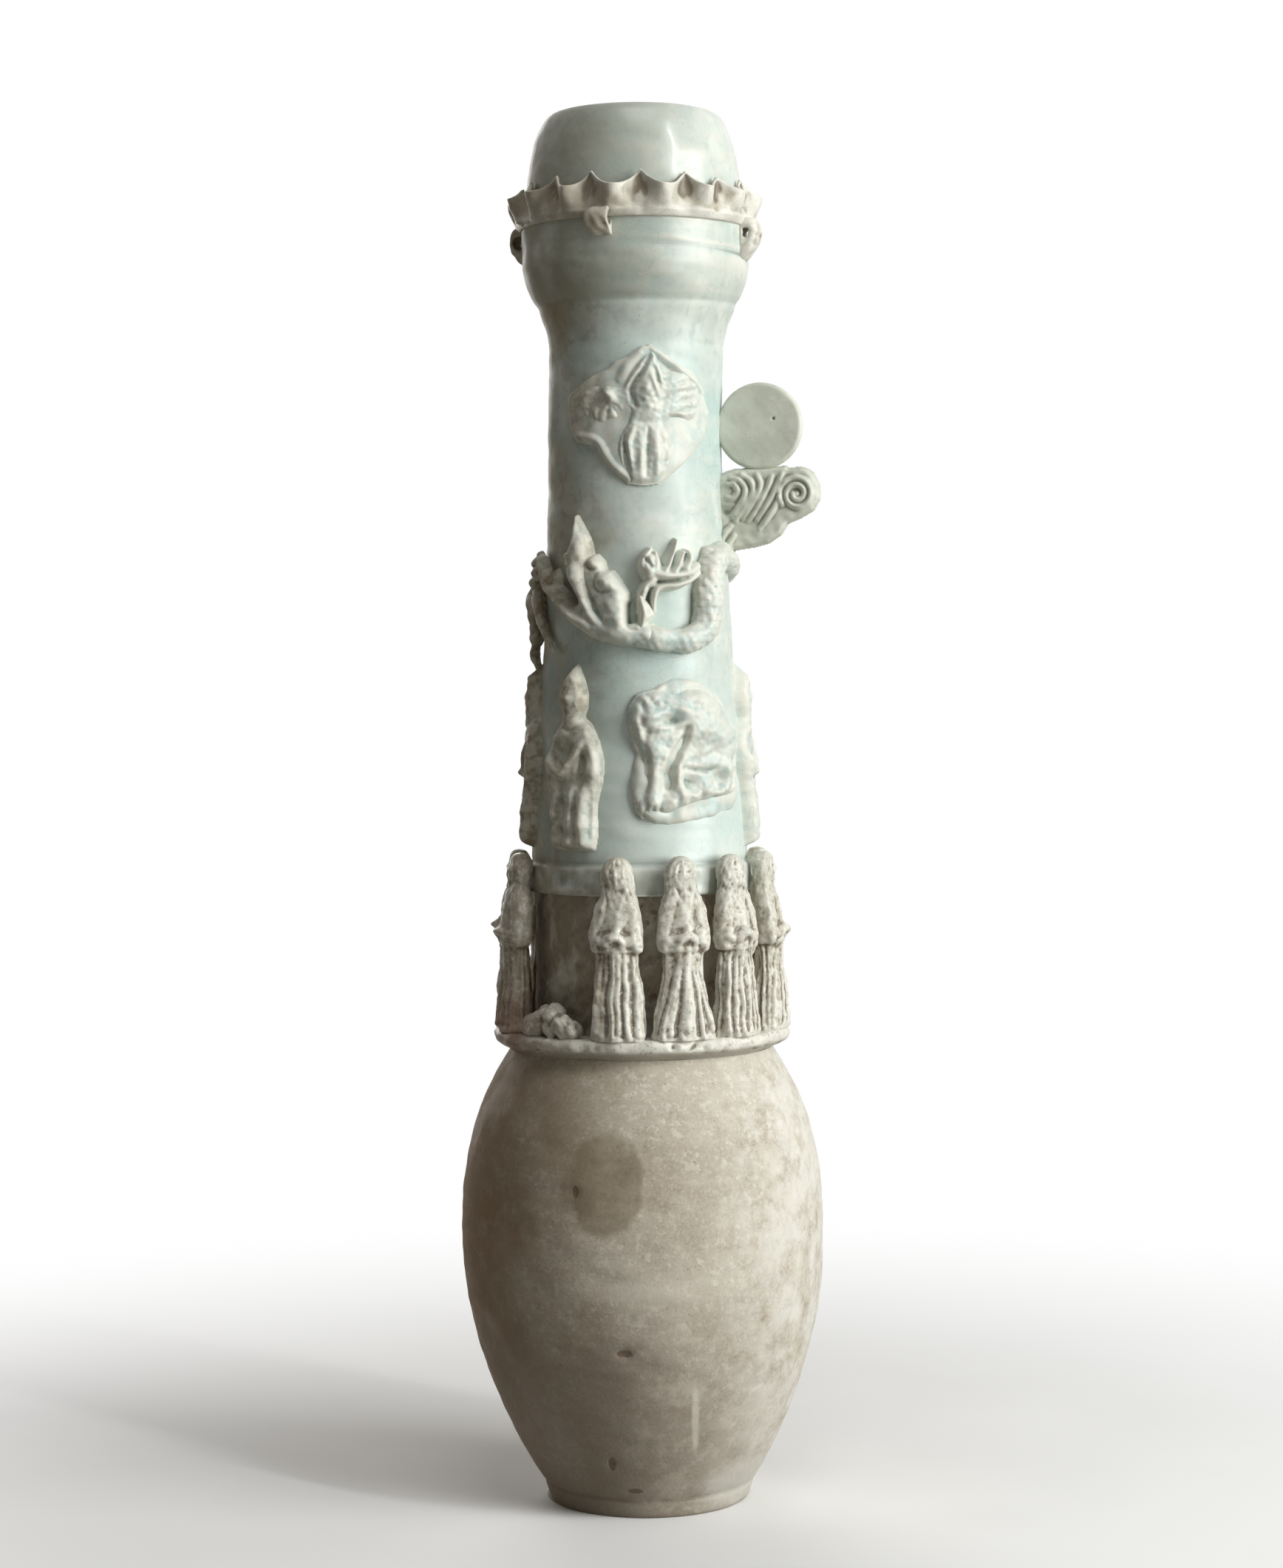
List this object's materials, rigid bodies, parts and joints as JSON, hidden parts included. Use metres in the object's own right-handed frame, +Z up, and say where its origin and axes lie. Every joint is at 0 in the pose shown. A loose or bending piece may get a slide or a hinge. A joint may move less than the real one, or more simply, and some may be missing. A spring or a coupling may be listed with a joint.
{
  "type": "funerary urn",
  "caption": "Tall glazed funerary urn: an ovoid jar below a long neck with standing attendants, an applied dragon, phoenix, beast and sun, and a frilled mouth with tie lugs.",
  "frame": {"origin": "middle of the foot ring's underside, on the urn's axis", "axes": "+Z up along the axis to the lip; -Y is the front, with the phoenix plaque and the dragon's head; +X is the sun's side"},
  "size_m": [0.169, 0.169, 0.64],
  "materials": {
    "glaze": "glossy crackled",
    "biscuit": "matte unglazed",
    "worn_slip": "worn satin"
  },
  "bodies": {
    "root": {"jar_base_section": "biscuit", "jar_shoulder_section": "biscuit", "figure_ledge": "worn_slip", "neck_drum": "biscuit", "neck_lower_section": "glaze", "neck_upper_section": "glaze", "mouth_bowl": "glaze", "mouth_collar": "glaze", "frilled_flange": "worn_slip", "tie_lug_1": "worn_slip", "tie_lug_2": "worn_slip", "tie_lug_3": "worn_slip", "tie_lug_4": "worn_slip", "attendant_1": "worn_slip", "attendant_2": "worn_slip", "attendant_3": "worn_slip", "attendant_4": "worn_slip", "attendant_5": "worn_slip", "attendant_6": "worn_slip", "attendant_7": "worn_slip", "attendant_8": "worn_slip", "attendant_9": "worn_slip", "attendant_10": "worn_slip", "attendant_11": "worn_slip", "broken_attendant_stump": "worn_slip", "band_figure_1": "glaze", "band_figure_2": "glaze", "band_figure_3": "glaze", "band_figure_4": "glaze", "band_figure_5": "glaze", "band_figure_6": "glaze", "beast_rock": "glaze", "beast": "glaze", "dragon_body": "glaze", "dragon_head": "glaze", "dragon_horn_upright": "glaze", "dragon_horn_swept": "glaze", "dragon_foreleg": "glaze", "dragon_hind_leg": "glaze", "phoenix_plaque": "glaze", "phoenix": "glaze", "sun_disc": "worn_slip", "cloud_bracket": "worn_slip"}
  },
  "joints": []
}
